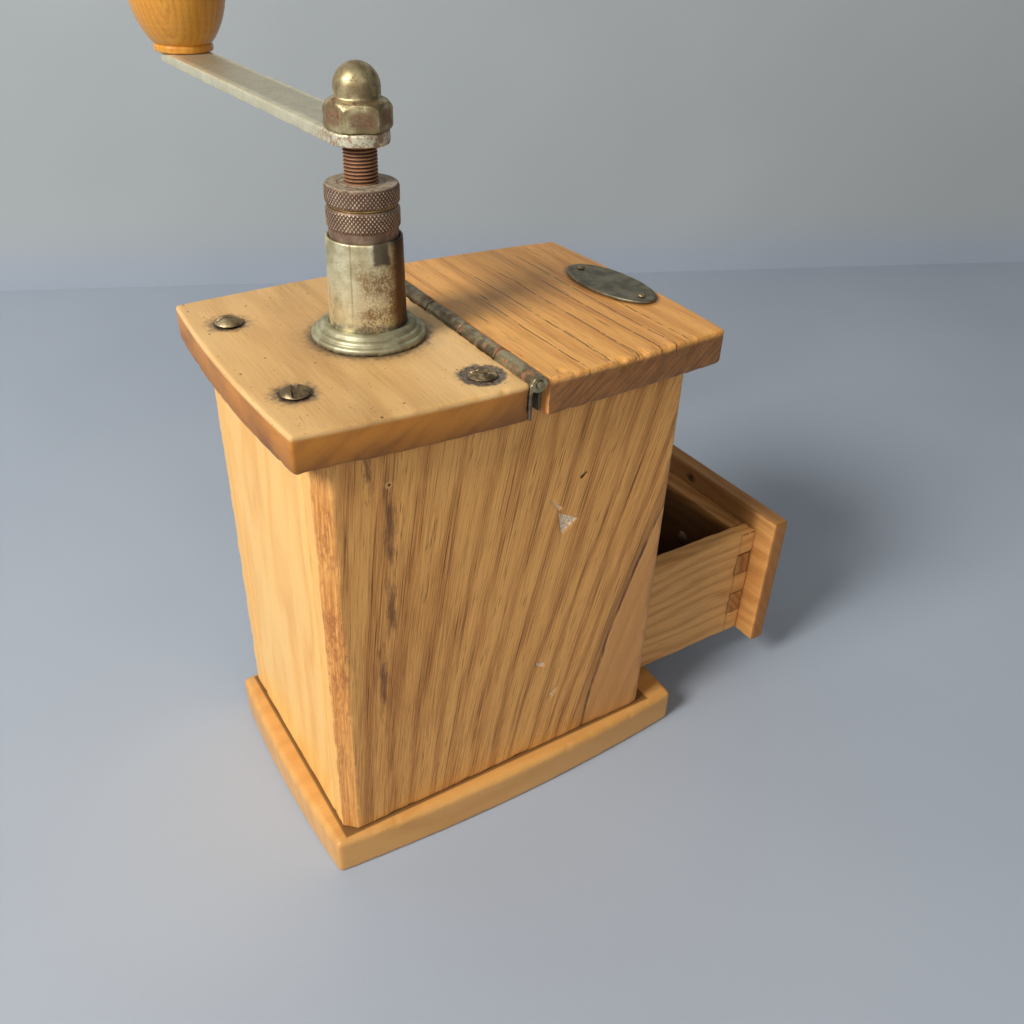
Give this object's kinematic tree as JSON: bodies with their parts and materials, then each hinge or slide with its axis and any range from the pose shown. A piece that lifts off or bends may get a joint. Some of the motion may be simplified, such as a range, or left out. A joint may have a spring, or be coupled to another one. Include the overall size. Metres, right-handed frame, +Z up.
{
  "type": "hand crank coffee grinder",
  "caption": "Wooden box coffee mill with a hinged half lid, top crank on a metal tower, knurled grind adjuster and pull-out drawer.",
  "frame": {"origin": "on the underside of the base board, under the middle of the case", "axes": "+Z up; the drawer opens towards -Y; the spindle stands at +Y behind the lid hinge, whose pin runs along X"},
  "size_m": [0.2199, 0.237, 0.2864],
  "materials": {
    "wood_side": "satin varnish",
    "wood_back": "satin varnish",
    "wood_base": "satin varnish",
    "wood_top": "satin varnish",
    "wood_lid": "satin varnish",
    "wood_drawer": "satin varnish",
    "wood_knob": "gloss varnish",
    "plated_steel": "worn nickel plate",
    "rusty_steel": "rusty",
    "brass": "aged",
    "tarnished_steel": "tarnished",
    "pewter": "dull",
    "tinplate": "dull",
    "burr_iron": "as cast"
  },
  "bodies": {
    "body": {"base_board": "wood_base", "base_screws": "tarnished_steel", "side_panel_left": "wood_side", "side_panel_right": "wood_side", "back_panel": "wood_back", "front_panel": "wood_side", "divider_board": "wood_base", "drawer_runner_left": "wood_base", "drawer_runner_right": "wood_base", "top_board": "wood_top", "top_screws": "tarnished_steel", "hinge_leaf_fixed": "tarnished_steel", "hinge_screws_fixed": "tarnished_steel", "hinge_pin": "tarnished_steel", "tower_flange": "plated_steel", "tower_tube": "plated_steel", "tower_nut": "plated_steel", "upper_bush": "brass", "lower_bush": "brass", "hopper": "tinplate", "burr_housing": "burr_iron", "housing_screws": "tarnished_steel", "ring_burr": "burr_iron", "bearing_bridge": "tarnished_steel", "bridge_screws": "tarnished_steel"},
    "lid": {"lid_board": "wood_lid", "hinge_leaf_lid": "tarnished_steel", "hinge_screws_lid": "tarnished_steel", "name_plate": "pewter", "plate_nails": "tarnished_steel"},
    "washer": {"thrust_washer": "rusty_steel"},
    "adjuster": {"adjusting_nut": "rusty_steel", "nut_spacer": "brass", "lock_nut": "rusty_steel"},
    "crank": {"spindle": "rusty_steel", "cone_burr": "burr_iron", "burr_nut": "tarnished_steel", "crank_arm": "plated_steel", "cap_nut": "plated_steel", "knob_screw": "plated_steel"},
    "knob": {"crank_knob": "wood_knob"},
    "drawer": {"drawer_front": "wood_drawer", "drawer_inner_front": "wood_drawer", "drawer_side_left": "wood_drawer", "drawer_side_right": "wood_drawer", "drawer_back": "wood_drawer", "drawer_bottom": "wood_drawer", "drawer_knob": "wood_knob", "drawer_knob_screw": "tarnished_steel"}
  },
  "joints": [
    {"name": "crank_spin", "type": "hinge", "parent": "body", "child": "washer", "pos_m": [0, 0.029, 0], "axis": [0, 0, 1], "continuous": true},
    {"name": "adjuster_turn", "type": "hinge", "parent": "washer", "child": "adjuster", "pos_m": [0, 0.029, 0], "axis": [0, 0, 1], "range_deg": [-180.1, 180.1]},
    {"name": "grind_adjust", "type": "slide", "parent": "washer", "child": "crank", "axis": [0, 0, 1], "range_m": [-0.0005, 0.0005]},
    {"name": "knob_spin", "type": "hinge", "parent": "crank", "child": "knob", "pos_m": [0.14691, 0.03413, 0.265], "axis": [0, 0, 1], "continuous": true},
    {"name": "lid_hinge", "type": "hinge", "parent": "body", "child": "lid", "pos_m": [0, 0.0006, 0.1804], "axis": [-1, 0, 0], "range_deg": [0, 100]},
    {"name": "drawer_slide", "type": "slide", "parent": "body", "child": "drawer", "axis": [0, -1, 0], "range_m": [-0.0634, 0.035]}
  ],
  "couplings": [
    {"joint": "adjuster_turn", "follows": "grind_adjust", "rad_per_m": 6283.2}
  ]
}
